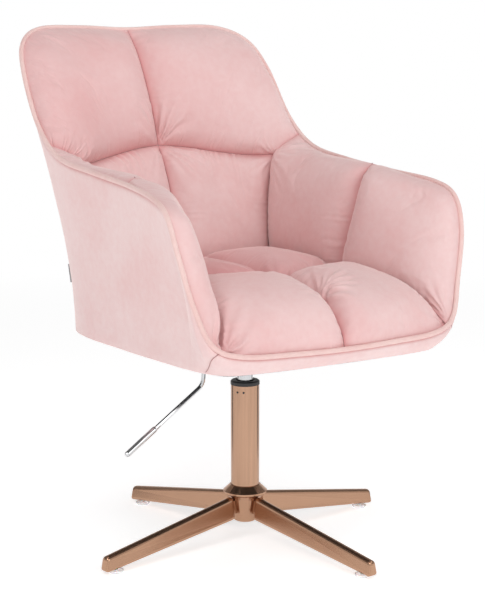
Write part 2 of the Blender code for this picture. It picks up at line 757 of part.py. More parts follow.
def cushion_ring(height, inset, front):
    """The cushion's outline at a height: drawn in by inset, and cut off level at front."""
    count = (len(CUSHION_PLAN) - 1) * SPAN_STEPS
    half = []
    for i in range(count + 1):
        station = i / SPAN_STEPS
        point = at_station(CUSHION_PLAN, station) + inset * inward_at(CUSHION_PLAN, station)
        half.append(np.array([point[0], max(point[1], front), height]))
    return half + [mirrored(point) for point in half[-2:0:-1]]


def seat_cushion(parent):
    # (height, inset, front face's Y)
    levels = [(0.3808, 0.004, -0.2620), (0.3920, 0.0, -0.2700), (0.4150, 0.0, -0.2640)]
    levels += [(0.4380, 0.0, -0.2430), (0.4580, 0.006, -0.2150), (0.4690, 0.035, -0.1700)]
    loft("seat_cushion", [cushion_ring(*level) for level in levels], VELVET, parent)


def corner_tab(parent):
    """A small blank tab that stands out of the shell's rear corner."""
    section = mirrored(wall(TAB_STATION, 0.0, 40))
    place = section[np.argmin(abs(section[:, 2] - TAB_Z))]
    below = section[np.argmin(abs(section[:, 2] - TAB_Z + 0.03))]
    rise = place - below
    outward = -np.array([-1, 1]) * inward_at(FOOT, TAB_STATION)
    turn = add_empty("tab_turn", parent, place)
    turn.rotation_euler = (0, -math.atan2(rise[:2] @ outward, rise[2]),
                           math.atan2(-outward[1], -outward[0]))
    block("corner_tab", TAB_SIZE, (-TAB_SIZE[0] / 2 - TAB_OFF, 0, 0), GREY, turn)


# ---- assembly ----
clear_scene()
CHAIR = make_collection("styling_chair")
CUTTERS = make_collection("cutters")

ROSE_GOLD = make_material("rose_gold", (0.52, 0.30, 0.20), 0.30, 1.0)
CHROME = make_material("chrome", (0.80, 0.81, 0.82), 0.10, 1.0)
STEEL = make_material("steel", (0.60, 0.60, 0.60), 0.35, 1.0)
DARK_STEEL = make_material("dark_steel", (0.05, 0.05, 0.05), 0.45, 0.6)
BLACK_PLASTIC = make_material("black_plastic", (0.02, 0.02, 0.02), 0.40)
CLEAR_PLASTIC = make_material("clear_plastic", (0.85, 0.83, 0.84), 0.25, 0.0, 0.6)
RUBBER = make_material("rubber", (0.03, 0.03, 0.03), 0.80)
PLYWOOD = make_material("plywood", (0.55, 0.38, 0.22), 0.70)
BLACK_FABRIC = make_material("black_fabric", (0.03, 0.03, 0.03), 0.95)
VELVET = make_material("velvet", (0.78, 0.53, 0.52), 0.85)
PIPING = make_material("piping", (0.80, 0.56, 0.54), 0.80)
GREY = make_material("grey_tab", (0.30, 0.30, 0.31), 0.60)


def build_chair():
    base = add_empty("chair_frame", None, (0, COLUMN_Y, 0))
    swivel = add_empty("swivel_axis", base)
    seat = add_empty("seat_axis", base)
    valve = add_empty("valve_axis", seat, (0, 0, VALVE_TOP))
    lever_axis = add_empty("lever_axis", seat, (PIVOT_X, 0, PIVOT_Z))

    base_hub(base)
    cutter = hub_cutter(base)
    for number in range(1, 5):
        base_arm(number, base, cutter)
    stand_tube(base)
    guide_bushing(base)
    bushing_rivets(base)
    rod_bearing(base)

    gas_lift(swivel, seat, valve)
    gas_socket(seat)
    mechanism(seat)
    lever(lever_axis)

    holes = mounting_plate(seat)
    seat_structure(seat, holes)
    outer_shell(seat)
    rim_piping(seat)
    pads(seat)
    seat_cushion(seat)
    corner_tab(seat)


build_chair()
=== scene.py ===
import math
from collections import namedtuple

import bpy
import numpy as np
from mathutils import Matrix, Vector, noise


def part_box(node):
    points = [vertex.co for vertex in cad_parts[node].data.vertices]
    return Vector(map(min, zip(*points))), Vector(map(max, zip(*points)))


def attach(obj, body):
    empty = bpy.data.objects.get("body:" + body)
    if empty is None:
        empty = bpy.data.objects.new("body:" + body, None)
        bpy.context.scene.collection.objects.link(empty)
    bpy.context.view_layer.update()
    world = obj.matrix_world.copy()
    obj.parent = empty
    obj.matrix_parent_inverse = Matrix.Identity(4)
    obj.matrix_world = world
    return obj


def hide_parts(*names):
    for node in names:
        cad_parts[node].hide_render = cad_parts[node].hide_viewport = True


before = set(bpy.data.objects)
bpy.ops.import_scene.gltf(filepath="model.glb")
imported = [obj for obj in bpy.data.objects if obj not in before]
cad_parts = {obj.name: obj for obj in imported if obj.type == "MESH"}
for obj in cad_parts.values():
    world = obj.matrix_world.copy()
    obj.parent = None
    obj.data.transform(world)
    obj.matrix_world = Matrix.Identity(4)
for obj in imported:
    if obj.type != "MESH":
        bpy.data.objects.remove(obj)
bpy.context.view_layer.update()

# ---------------------------------------------------------------- driving dimensions, metres
# Shapes are laid out about the column's axis; AXIS moves them to the frame.
low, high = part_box("column_tube")
AXIS = np.array([(low.x + high.x) / 2, (low.y + high.y) / 2, 0.0])

PIPING_R = 0.0042
SEAM_Z_FOOT = 0.3650  # height of the shell's foot

# Half of the piping's line, from the middle of the back to the middle of the front.
RIM = [
    (0.000, 0.406, 0.889),
    (0.100, 0.403, 0.893),
    (0.190, 0.390, 0.891),
    (0.240, 0.358, 0.866),
    (0.260, 0.316, 0.814),
    (0.266, 0.252, 0.726),
    (0.267, 0.176, 0.675),
    (0.262, 0.062, 0.657),
    (0.264, -0.062, 0.645),
    (0.280, -0.168, 0.633),
    (0.286, -0.216, 0.611),
    (0.282, -0.240, 0.556),
    (0.263, -0.255, 0.474),
    (0.239, -0.272, 0.414),
    (0.191, -0.284, 0.394),
    (0.100, -0.292, 0.390),
    (0.000, -0.293, 0.388),
]
# The shell's foot below each of those points, in plan.
FOOT = [
    (0.000, 0.272),
    (0.070, 0.272),
    (0.130, 0.269),
    (0.172, 0.257),
    (0.202, 0.234),
    (0.222, 0.200),
    (0.232, 0.150),
    (0.236, 0.055),
    (0.236, -0.060),
    (0.234, -0.145),
    (0.231, -0.185),
    (0.228, -0.215),
    (0.219, -0.243),
    (0.205, -0.261),
    (0.175, -0.271),
    (0.090, -0.278),
    (0.000, -0.279),
]
LAST = len(RIM) - 1  # the station at the middle of the front; the other half runs on to 2 * LAST

# Stations on RIM where seams meet the piping.
KINK = 5.55  # the seam between back and arm
ARM_SEAM = 7.85
FRONT_CORNER = 9.9  # where the arm's front edge turns down
ARM_END = 13.35
CORNER_SEAM = 13.25  # the shell's corner seam

# Seams of the +X half: where the velvet is sewn down, so the valleys between the puffs.
SEAM_BACK_TOP = [
    (0, 0.402, 0.887),
    (0, 0.364, 0.842),
    (0, 0.335, 0.790),
    (0, 0.311, 0.735),
    (0, 0.292, 0.678),
]
SEAM_BACK_LOW = [
    (0, 0.292, 0.678),
    (0, 0.262, 0.625),
    (0, 0.242, 0.575),
    (0, 0.222, 0.515),
    (0, 0.205, 0.452),
]
SEAM_LEVEL = [
    (0, 0.292, 0.678),
    (0.050, 0.287, 0.673),
    (0.110, 0.274, 0.663),
    (0.165, 0.248, 0.656),
    (0.210, 0.215, 0.657),
]
SEAM_CORNER_TOP = [
    (0.267, 0.212, 0.690),
    (0.250, 0.208, 0.684),
    (0.230, 0.210, 0.674),
    (0.210, 0.215, 0.657),
]
SEAM_CORNER_LOW = [
    (0.210, 0.215, 0.657),
    (0.202, 0.215, 0.615),
    (0.195, 0.212, 0.560),
    (0.189, 0.204, 0.500),
    (0.186, 0.196, 0.452),
]
SEAM_ARM = [
    (0.262, -0.040, 0.648),
    (0.243, -0.042, 0.657),
    (0.224, -0.044, 0.640),
    (0.213, -0.038, 0.592),
    (0.206, -0.026, 0.535),
    (0.203, -0.014, 0.486),
    (0.202, -0.008, 0.448),
]
SEAT_REAR = [(0, 0.205, 0.452), (0.070, 0.206, 0.452), (0.130, 0.206, 0.452), (0.186, 0.196, 0.452)]
SEAT_SIDE_REAR = [
    (0.186, 0.196, 0.452),
    (0.195, 0.160, 0.450),
    (0.200, 0.090, 0.448),
    (0.202, -0.008, 0.448),
]
SEAT_SIDE_FRONT = [
    (0.202, -0.008, 0.448),
    (0.204, -0.080, 0.448),
    (0.207, -0.160, 0.444),
    (0.211, -0.215, 0.436),
    (0.218, -0.250, 0.421),
    (0.2225, -0.274, 0.404),
]
SEAT_CENTRE_REAR = [
    (0, 0.205, 0.452),
    (0, 0.120, 0.453),
    (0, 0.045, 0.454),
    (0, -0.030, 0.455),
    (0, -0.104, 0.456),
]
SEAT_CENTRE_FRONT = [
    (0, -0.104, 0.456),
    (0, -0.179, 0.456),
    (0, -0.240, 0.441),
    (0, -0.277, 0.416),
    (0, -0.2885, 0.3905),
]
SEAT_LATERAL = [
    (0, -0.104, 0.456),
    (0.050, -0.088, 0.455),
    (0.110, -0.055, 0.453),
    (0.160, -0.028, 0.450),
    (0.202, -0.008, 0.448),
]


# ---------------------------------------------------------------- curves
SPLINE_STEPS = 24  # between two given points
STATION_STEP = 0.05  # either side of a station, to find the wall's direction there


def catmull(before, a, b, after, t):
    """The Catmull-Rom curve between a and b, at share t."""
    return (
        a
        + 0.5 * t * (b - before)
        + t**2 * (before - 2.5 * a + 2 * b - 0.5 * after)
        + t**3 * (1.5 * (a - b) + 0.5 * (after - before))
    )


def spline(points, count):
    """count points along the Catmull-Rom curve through points, evenly spaced by length."""
    pts = np.array(points, float)
    pts = np.vstack([2 * pts[0] - pts[1], pts, 2 * pts[-1] - pts[-2]])
    t = np.linspace(0, 1, SPLINE_STEPS, endpoint=False)[:, None]
    fine = [catmull(a, b, c, d, t) for a, b, c, d in zip(pts, pts[1:], pts[2:], pts[3:])]
    return by_length(np.vstack(fine + [pts[-2:-1]]), count)


def by_length(curve, count):
    """count points spread evenly along a finely drawn curve."""
    steps = np.linalg.norm(np.diff(curve, axis=0), axis=1)
    along = np.concatenate([[0], np.cumsum(steps)])
    wanted = np.linspace(0, along[-1], count)
    return np.stack([np.interp(wanted, along, curve[:, k]) for k in range(curve.shape[1])], axis=1)


def at_station(points, station):
    """The Catmull-Rom curve read at a station; past the middle plane it mirrors in X."""
    pts = np.array(points, float)
    flip = np.ones(pts.shape[1])
    flip[0] = -1
    last = len(pts) - 1
    i = min(int(station), last - 1)
    before = pts[i - 1] if i > 0 else pts[1] * flip
    after = pts[i + 2] if i + 2 <= last else pts[last - 1] * flip
    return catmull(before, pts[i], pts[i + 1], after, station - i)


def inward_at(station):
    """Unit plan vector from the shell's wall towards the chair's middle."""
    ahead = at_station(FOOT, min(station + STATION_STEP, LAST))
    along = ahead - at_station(FOOT, max(station - STATION_STEP, 0.0))
    normal = np.array([along[1], -along[0], 0.0]) / np.hypot(*along)
    return normal if normal[:2] @ at_station(FOOT, station) < 0 else -normal


# ---------------------------------------------------------------- meshes
def mesh_object(name, verts, faces):
    mesh = bpy.data.meshes.new(name)
    mesh.from_pydata(np.asarray(verts).tolist(), [], faces)
    mesh.update()
    obj = bpy.data.objects.new(name, mesh)
    bpy.context.scene.collection.objects.link(obj)
    return obj


def grid_faces(rows, columns, wrap=False, close=False):
    """Quads of a grid. wrap joins its last column to the first, and close its last row."""
    faces = []
    for i in range(rows if close else rows - 1):
        n = (i + 1) % rows
        for j in range(columns if wrap else columns - 1):
            k = (j + 1) % columns
            faces.append((i * columns + j, i * columns + k, n * columns + k, n * columns + j))
    return faces


def coons(top, bottom, left, right):
    """The surface between four edges. top and bottom run left to right, left and right run
    top to bottom, and are eased to meet them. Returns rows x columns x 3."""
    v = np.linspace(0, 1, len(left))[:, None, None]
    u = np.linspace(0, 1, len(top))[None, :, None]
    left = left + (1 - v[:, 0]) * (top[0] - left[0]) + v[:, 0] * (bottom[0] - left[-1])
    right = right + (1 - v[:, 0]) * (top[-1] - right[0]) + v[:, 0] * (bottom[-1] - right[-1])
    across = (1 - v) * top[None] + v * bottom[None]
    down = (1 - u) * left[:, None] + u * right[:, None]
    corners = (1 - v) * ((1 - u) * top[0] + u * top[-1]) + v * ((1 - u) * bottom[0] + u * bottom[-1])
    return across + down - corners


def normals(surface):
    normal = np.cross(np.gradient(surface, axis=1), np.gradient(surface, axis=0))
    return normal / (np.linalg.norm(normal, axis=2)[:, :, None] + 1e-12)


def unit(vectors):
    return vectors / np.linalg.norm(vectors, axis=1)[:, None]


def mark_nap_and_painted_shade(obj, values):
    """Stores how far the velvet is darkened at each point, from 0 to 1: painted shade in creases, and
    the panel's nap tone.
    """
    nap_and_painted_shade = obj.data.attributes.new("nap_and_painted_shade", "FLOAT", "POINT")
    nap_and_painted_shade.data.foreach_set("value", values)


def waves(points, size, seed):
    """Smooth noise from -1 to 1 with features of a given size."""
    shift = Vector((seed * 3.1, seed * 1.7, seed * 0.9))
    return np.array([noise.noise(Vector(p) / size + shift) for p in points])


# ---------------------------------------------------------------- materials
def new_material(name):
    material = bpy.data.materials.new(name)
    material.use_nodes = True
    nodes, links = material.node_tree.nodes, material.node_tree.links
    shader = nodes["Principled BSDF"]
    return material, nodes, links, shader


def noise_node(nodes, links, scale, detail=3.0, stretch=None):
    place = nodes.new("ShaderNodeTexCoord")
    texture = nodes.new("ShaderNodeTexNoise")
    texture.inputs["Scale"].default_value = scale
    texture.inputs["Detail"].default_value = detail
    if stretch:
        mapping = nodes.new("ShaderNodeMapping")
        mapping.inputs["Scale"].default_value = stretch
        links.new(place.outputs["Object"], mapping.inputs["Vector"])
        links.new(mapping.outputs["Vector"], texture.inputs["Vector"])
    else:
        links.new(place.outputs["Object"], texture.inputs["Vector"])
    return texture


def ramp(nodes, links, source, stops):
    node = nodes.new("ShaderNodeValToRGB")
    elements = node.color_ramp.elements
    for end in (0, -1):
        elements[end].position, elements[end].color = stops[end][0], (*stops[end][1], 1)
    for position, colour in stops[1:-1]:
        elements.new(position).color = (*colour, 1)
    links.new(source, node.inputs["Fac"])
    return node


def bump(nodes, links, source, strength, distance, under=None):
    node = nodes.new("ShaderNodeBump")
    node.inputs["Strength"].default_value = strength
    node.inputs["Distance"].default_value = distance
    links.new(source, node.inputs["Height"])
    if under:
        links.new(under.outputs["Normal"], node.inputs["Normal"])
    return node


def paint(nodes, links, shader, source, stops):
    """Colour that follows a texture."""
    shades = ramp(nodes, links, source, stops)
    links.new(shades.outputs["Color"], shader.inputs["Base Color"])


def gloss(nodes, links, shader, source, low, high):
    """Roughness that follows a texture."""
    rough = nodes.new("ShaderNodeMapRange")
    rough.inputs["To Min"].default_value = low
    rough.inputs["To Max"].default_value = high
    links.new(source, rough.inputs["Value"])
    links.new(rough.outputs["Result"], shader.inputs["Roughness"])


def relief(nodes, links, shader, source, strength, depth):
    """Fine relief that follows a texture."""
    marks = bump(nodes, links, source, strength, depth)
    links.new(marks.outputs["Normal"], shader.inputs["Normal"])


def toned(colour, tone, low, high):
    """Colour stops from a little darker to a little lighter."""
    base = np.array(colour)
    return [(low, base * (1 - tone)), (high, np.minimum(base * (1 + tone), 1))]


NAP_AND_SHADE_TINT = np.array([0.84, 0.54, 0.55])  # painted shade: the deeper pink that creases, seams and darker panels are mixed towards
SHADE_ACROSS = 0.35  # painted shade: across the chair the panels' deep tone fades from the -X side to the +X side over this width
NAP_DOWN = np.array([0.97, 0.87, 0.87])  # pile brushed away from the light, and towards it
NAP_UP = np.array([1.03, 1.08, 1.08])
NAP_SCALE, BRUSHED_SCALE, FIBRE_SCALE = 9.0, 90.0, 1500.0
PATCH_SHARE = 0.35  # how much of the colour follows the fine brushed patches
GLOSS_SPREAD = 0.07  # how far the roughness of plastic, rubber and paint wanders


def velvet(name, colour):
    """Short pile: soft sheen, nap lying in patches, fine fibre bump, and painted shade from the mesh
    darkening its creases.
    """
    material, nodes, links, shader = new_material(name)
    nap = noise_node(nodes, links, NAP_SCALE, 4.0)
    brushed = noise_node(nodes, links, BRUSHED_SCALE, 3.0)
    fibre = noise_node(nodes, links, FIBRE_SCALE, 2.0)
    base = np.array(colour)
    down, up = (0.3, base * NAP_DOWN), (0.7, base * NAP_UP)
    tones = ramp(nodes, links, nap.outputs["Fac"], [down, (0.5, base), up])
    patch = ramp(nodes, links, brushed.outputs["Fac"], [down, up])
    mix = nodes.new("ShaderNodeMix")
    mix.data_type = "RGBA"
    mix.inputs["Factor"].default_value = PATCH_SHARE
    links.new(tones.outputs["Color"], mix.inputs["A"])
    links.new(patch.outputs["Color"], mix.inputs["B"])
    # Painted shade: the mesh's attribute mixes the colour towards a deeper pink in creases and on
    # darker panels.
    nap_and_painted_shade = nodes.new("ShaderNodeAttribute")
    nap_and_painted_shade.attribute_name = "nap_and_painted_shade"
    nap_and_shade_mix = nodes.new("ShaderNodeMix")
    nap_and_shade_mix.data_type = "RGBA"
    nap_and_shade_mix.inputs["B"].default_value = (*(base * NAP_AND_SHADE_TINT), 1)
    links.new(nap_and_painted_shade.outputs["Fac"], nap_and_shade_mix.inputs["Factor"])
    links.new(mix.outputs["Result"], nap_and_shade_mix.inputs["A"])
    links.new(nap_and_shade_mix.outputs["Result"], shader.inputs["Base Color"])
    gloss(nodes, links, shader, brushed.outputs["Fac"], 0.78, 0.95)
    shader.inputs["Sheen Weight"].default_value = 0.75
    shader.inputs["Sheen Roughness"].default_value = 0.42
    shader.inputs["Sheen Tint"].default_value = (1.0, 0.86, 0.84, 1)
    shader.inputs["Specular IOR Level"].default_value = 0.15
    soft = bump(nodes, links, brushed.outputs["Fac"], 0.30, 0.0016)
    fine = bump(nodes, links, fibre.outputs["Fac"], 0.35, 0.0005, soft)
    links.new(fine.outputs["Normal"], shader.inputs["Normal"])
    return material


def metal(name, colour, roughness, spread, streak=None, scale=60.0, bumpiness=0.05, tone=0.08):
    """Metal with fine brush streaks, uneven gloss and faint handling marks."""
    material, nodes, links, shader = new_material(name)
    streaks = noise_node(nodes, links, scale, 5.0, streak)
    smudge = noise_node(nodes, links, 16.0, 4.0)
    paint(nodes, links, shader, streaks.outputs["Fac"], toned(colour, tone, 0.35, 0.65))
    shader.inputs["Metallic"].default_value = 1.0
    gloss(nodes, links, shader, smudge.outputs["Fac"], roughness - spread, roughness + spread)
    relief(nodes, links, shader, streaks.outputs["Fac"], bumpiness, 0.0004)
    return material


def coated(name, colour, roughness, grain, depth, tone=0.25):
    """Plastic, rubber, paint or card: grain in the colour, the gloss and the bump."""
    material, nodes, links, shader = new_material(name)
    texture = noise_node(nodes, links, grain, 4.0)
    rough = roughness - GLOSS_SPREAD, min(roughness + GLOSS_SPREAD, 1.0)
    paint(nodes, links, shader, texture.outputs["Fac"], toned(colour, tone, 0.3, 0.7))
    gloss(nodes, links, shader, texture.outputs["Fac"], *rough)
    relief(nodes, links, shader, texture.outputs["Fac"], 0.4, depth)
    return material


def milky(name):
    """Milky see-through plastic."""
    material = coated(name, (0.82, 0.80, 0.81), 0.25, 120.0, 0.0002, 0.04)
    shader = material.node_tree.nodes["Principled BSDF"]
    shader.inputs["Transmission Weight"].default_value = 0.45
    shader.inputs["Subsurface Weight"].default_value = 0.2
    shader.inputs["IOR"].default_value = 1.45
    return material


def veneer(name):
    """Raw plywood: long grain along Y and plies along Z."""
    material, nodes, links, shader = new_material(name)
    grain = noise_node(nodes, links, 8.0, 6.0, (12.0, 1.0, 40.0))
    stops = [(0.3, (0.42, 0.27, 0.14)), (0.7, (0.66, 0.48, 0.29))]
    paint(nodes, links, shader, grain.outputs["Fac"], stops)
    shader.inputs["Roughness"].default_value = 0.7
    relief(nodes, links, shader, grain.outputs["Fac"], 0.3, 0.0004)
    return material


def woven(name, colour, pitch):
    """A plain weave from two crossed sets of threads."""
    material, nodes, links, shader = new_material(name)
    place = nodes.new("ShaderNodeTexCoord")
    threads = []
    for direction in ("X", "Y"):
        wave = nodes.new("ShaderNodeTexWave")
        wave.bands_direction = direction
        wave.inputs["Scale"].default_value = 1.0 / pitch / 3.14
        wave.inputs["Distortion"].default_value = 1.0
        links.new(place.outputs["Object"], wave.inputs["Vector"])
        threads.append(wave)
    cross = nodes.new("ShaderNodeMath")
    cross.operation = "MAXIMUM"
    for thread, socket in zip(threads, cross.inputs):
        links.new(thread.outputs["Fac"], socket)
    base = np.array(colour)
    paint(nodes, links, shader, cross.outputs["Value"], [(0.2, base * 0.6), (0.9, base * 1.25)])
    shader.inputs["Roughness"].default_value = 0.9
    relief(nodes, links, shader, cross.outputs["Value"], 0.5, 0.0004)
    return material


ROSE_GOLD = (0.455, 0.277, 0.187)
PINK = (0.790, 0.555, 0.545)
# Partly real, partly painted shade: the seam cords' dark pink stands in for the shadow in each seam.
PINK_SEAM_SHADOW = (0.420, 0.215, 0.210)
# Painted light: the same velvet as PINK, made a little lighter and paler for the outside, where the
# light falls on it.
OUTER_PINK_LIT = (0.790, 0.590, 0.580)
PIPING_PINK = (0.785, 0.560, 0.530)
FINISHES = {
    "rose_gold": metal("rose_gold_satin", (0.460, 0.270, 0.176), 0.24, 0.03, None, 400.0, 0.008, 0.02),
    "rose_gold_column": metal(
        "rose_gold_brushed", ROSE_GOLD, 0.24, 0.03, (16.0, 16.0, 0.5), 12.0, 0.10, 0.05
    ),
    "chrome": metal("chrome_polished", (0.600, 0.605, 0.615), 0.09, 0.04, tone=0.02),
    "steel": metal("zinc_steel", (0.600, 0.610, 0.620), 0.34, 0.08, (1.0, 1.0, 6.0), 60.0, 0.10),
    "dark_steel": coated("dark_powder_coat", (0.030, 0.030, 0.032), 0.45, 900.0, 0.0003),
    "flag_card": coated("grey_card", (0.300, 0.300, 0.300), 0.90, 300.0, 0.0002),
    "black_plastic": coated("black_moulded_plastic", (0.022, 0.022, 0.024), 0.42, 700.0, 0.0002),
    "clear_plastic": milky("milky_plastic"),
    "rubber": coated("black_rubber", (0.030, 0.030, 0.030), 0.80, 500.0, 0.0003),
    "plywood": veneer("raw_plywood"),
    "black_fabric": woven("black_dust_cover", (0.030, 0.030, 0.032), 0.0012),
    "velvet": velvet("pink_velvet", PINK),
    "seam_thread": velvet("seam_thread", PINK_SEAM_SHADOW),
    "outer_velvet": velvet("pink_velvet_outside_lit", OUTER_PINK_LIT),
    "piping_velvet": velvet("piping_velvet", PIPING_PINK),
    "grey_tab": woven("grey_woven_tab", (0.300, 0.300, 0.310), 0.0009),
}


def finish_cad_nodes():
    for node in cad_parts.values():
        slots = node.material_slots
        for slot in slots:
            name = slot.material.name.split(".")[0] if slot.material else ""
            if name in FINISHES:
                slot.material = FINISHES[name]
            else:
                print("NO FINISH", node.name, name)
    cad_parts["column_tube"].material_slots[0].material = FINISHES["rose_gold_column"]


# ---------------------------------------------------------------- camera, light, floor
CAMERA_HEIGHT = 0.4275  # of the point on the chair's axis that it looks at
CAMERA_DISTANCE = 3.0
CAMERA_AZIMUTH, CAMERA_ELEVATION = -33.478, 9.343
SENSOR, LENS, LENS_SHIFT = 36.0, 103.68, -0.0043
LIGHT_CENTRE = Vector((0, 0, 0.45))
# azimuth, elevation, distance, size, watts
LIGHTS = {
    "key": (-50, 42, 3.2, (1.5, 1.5), 29),
    "top": (0, 88, 2.6, (2.0, 2.0), 8),
    "fill": (5, 25, 3.4, (2.0, 1.6), 21),
    "rim": (65, 58, 3.0, (1.6, 1.6), 13),
}
FLAGS = {"flag_right": 0, "flag_left": 113}  # bearings
FLAG_DISTANCE, FLAG_WIDTH, FLAG_HEIGHT = 0.62, 0.30, 1.0
SKY = [(0.18, (1.0, 1.0, 1.0)), (0.55, (0.16, 0.16, 0.16))]  # by height: white low down, dim above
FLOOR_RADIUS, FLOOR_SIDES = 30, 96
FLOOR_PALE = (0.92, 0.92, 0.92)
FLOOR_GLOW = 0.55
FLOOR_FADE = (0.9, 3.2)  # distances over which the pale floor turns into the white backdrop


def direction(azimuth, elevation):
    """Unit vector from the chair; azimuth 0 is straight in front of it."""
    a, e = math.radians(azimuth), math.radians(elevation)
    return Vector((math.sin(a) * math.cos(e), -math.cos(a) * math.cos(e), math.sin(e)))


def aimed(name, data, target, back, distance):
    """A camera or light that looks at target from a distance."""
    obj = bpy.data.objects.new(name, data)
    obj.location = target + back * distance
    obj.rotation_mode = "QUATERNION"
    obj.rotation_quaternion = (-back).to_track_quat("-Z", "Y")
    bpy.context.scene.collection.objects.link(obj)
    return obj


def add_camera():
    data = bpy.data.cameras.new("camera")
    data.sensor_width = SENSOR
    data.lens = LENS
    data.shift_x = LENS_SHIFT
    data.clip_end = 50.0
    target = Vector(AXIS) + Vector((0, 0, CAMERA_HEIGHT))
    back = direction(CAMERA_AZIMUTH, CAMERA_ELEVATION)
    bpy.context.scene.camera = aimed("camera", data, target, back, CAMERA_DISTANCE)


def add_area(name, azimuth, elevation, distance, size, power):
    data = bpy.data.lights.new(name, "AREA")
    data.shape = "RECTANGLE"
    data.size, data.size_y = size
    data.energy = power
    aimed(name, data, LIGHT_CENTRE, direction(azimuth, elevation), distance)


def add_floor():
    """A pale floor that brightens outwards until it meets the white surround."""
    verts, faces = [(0, 0, 0)], []
    for k in range(FLOOR_SIDES):
        angle = 2 * math.pi * k / FLOOR_SIDES
        verts.append((FLOOR_RADIUS * math.cos(angle), FLOOR_RADIUS * math.sin(angle), 0))
        faces.append((0, k + 1, (k + 1) % FLOOR_SIDES + 1))
    floor = mesh_object("floor", verts, faces)
    material, nodes, links, shader = new_material("floor_paint")
    place = nodes.new("ShaderNodeTexCoord")
    reach = nodes.new("ShaderNodeVectorMath")
    reach.operation = "LENGTH"
    links.new(place.outputs["Object"], reach.inputs[0])
    spread = nodes.new("ShaderNodeMapRange")
    spread.inputs["From Min"].default_value, spread.inputs["From Max"].default_value = FLOOR_FADE
    spread.inputs["To Min"].default_value, spread.inputs["To Max"].default_value = FLOOR_GLOW, 1.0
    links.new(reach.outputs["Value"], spread.inputs["Value"])
    stops = [(FLOOR_GLOW, FLOOR_PALE), (1.0, (0.0, 0.0, 0.0))]
    paint(nodes, links, shader, spread.outputs["Result"], stops)
    links.new(spread.outputs["Result"], shader.inputs["Emission Strength"])
    shader.inputs["Emission Color"].default_value = (1, 1, 1, 1)
    shader.inputs["Roughness"].default_value = 0.6
    shader.inputs["Specular IOR Level"].default_value = 0.0
    floor.data.materials.append(material)


def add_flag(name, bearing):
    """A grey card that only reflections see: it draws the dark edges on polished metal."""
    a = math.radians(bearing)
    out = np.array([math.cos(a), math.sin(a), 0])
    side = np.array([-math.sin(a), math.cos(a), 0]) * FLAG_WIDTH / 2
    base = out * FLAG_DISTANCE
    top = np.array([0, 0, FLAG_HEIGHT])
    corners = [base - side, base + side, base + side + top, base - side + top]
    flag = mesh_object(name, corners, [(0, 1, 2, 3)])
    flag.data.materials.append(FINISHES["flag_card"])
    flag.visible_camera = flag.visible_diffuse = flag.visible_shadow = flag.visible_transmission = False


def add_light():
    for name, light in LIGHTS.items():
        add_area(name, *light)
    for name, bearing in FLAGS.items():
        add_flag(name, bearing)
    world = bpy.data.worlds.new("studio")
    bpy.context.scene.world = world
    world.use_nodes = True
    nodes, links = world.node_tree.nodes, world.node_tree.links
    place = nodes.new("ShaderNodeTexCoord")
    axes = nodes.new("ShaderNodeSeparateXYZ")
    links.new(place.outputs["Generated"], axes.inputs["Vector"])
    sky = ramp(nodes, links, axes.outputs["Z"], SKY)
    links.new(sky.outputs["Color"], nodes["Background"].inputs["Color"])
    nodes["Background"].inputs["Strength"].default_value = 1.0
    bpy.context.scene.view_settings.view_transform = "Standard"


# ---------------------------------------------------------------- upholstery
SITTER = np.array([0.0, -0.05, 0.80])  # a point that every panel faces
CLOTH_STEP = 0.0036  # between neighbouring points of the cloth
SETTLE_FRAMES = 24
PRESSURE = 4.0
SPARE_CLOTH, SPARE_GATHERED = 0.006, 0.07  # share cut too large, everywhere and at gathered seams

# Gathers: small folds that run away from a seam.
GATHER_REACH = 0.024
GATHER_START = 0.006
GATHER_PATCH = 0.030  # length of seam over which they come and go
FOLD_PITCH = 0.0135
FOLD_HEIGHT = 0.0030

# Knots: where seams cross, and how strongly folds radiate there on the left and the right side.
KNOT_FOLDS = 17.0
KNOT_HEIGHT = 0.0105
KNOT_REACH = 0.038
KNOT_CATCH = 0.012  # how near a panel's rim a knot must lie to draw it in
KNOTS = [
    (SEAM_LEVEL[0], 1.0, 0.3),
    (SEAT_LATERAL[0], 0.9, 0.5),
    ((0, -0.210, 0.450), 1.0, 0.15),
    (SEAM_LEVEL[-1], 0.5, 0.6),
    (SEAT_SIDE_FRONT[-1], 0.7, 1.3),
]

PAD_EDGE = 0.0008  # thickness of a pad at its seam
SEAM_SHADE = ((0.35, 0.014), (0.75, 0.0035))  # strength and reach of the wide and narrow painted shade at a seam
# painted shade along the ungathered edges of a pad
RIM_SHADE, RIM_SHADE_REACH = 0.15, 0.004
RIM_SAMPLES = 60
RIM_INSET, RIM_DROP = 0.0036, 0.0010  # from the piping's middle to where the padding is sewn


def edge_points(curve, count):
    points = np.array(curve, float)
    return by_length(points, count) if len(points) > 12 else spline(points, count)


def panel_surface(top, bottom, left, right):
    def span(a, b):
        longest = max(np.linalg.norm(np.diff(np.array(c, float), axis=0), axis=1).sum() for c in (a, b))
        return int(round(longest / CLOTH_STEP)) + 1

    columns, rows = span(top, bottom), span(left, right)
    level = [edge_points(edge, columns) for edge in (top, bottom)]
    upright = [edge_points(edge, rows) for edge in (left, right)]
    return coons(*level, *upright)


def facing(surface, eye):
    """The surface with its rows ordered so that its faces look towards eye."""
    middle = surface[surface.shape[0] // 2, surface.shape[1] // 2]
    across = surface[surface.shape[0] // 2, surface.shape[1] // 2 + 1] - middle
    down = surface[surface.shape[0] // 2 + 1, surface.shape[1] // 2] - middle
    return surface if np.cross(across, down) @ (eye - middle) > 0 else surface[:, ::-1]


def edge_steps(rows, columns):
    """For each grid point, its steps from the top, bottom, left and right edges, and along them."""
    i, j = np.divmod(np.arange(rows * columns), columns)
    return (i, rows - 1 - i, j, columns - 1 - j), (j, j, i, i)


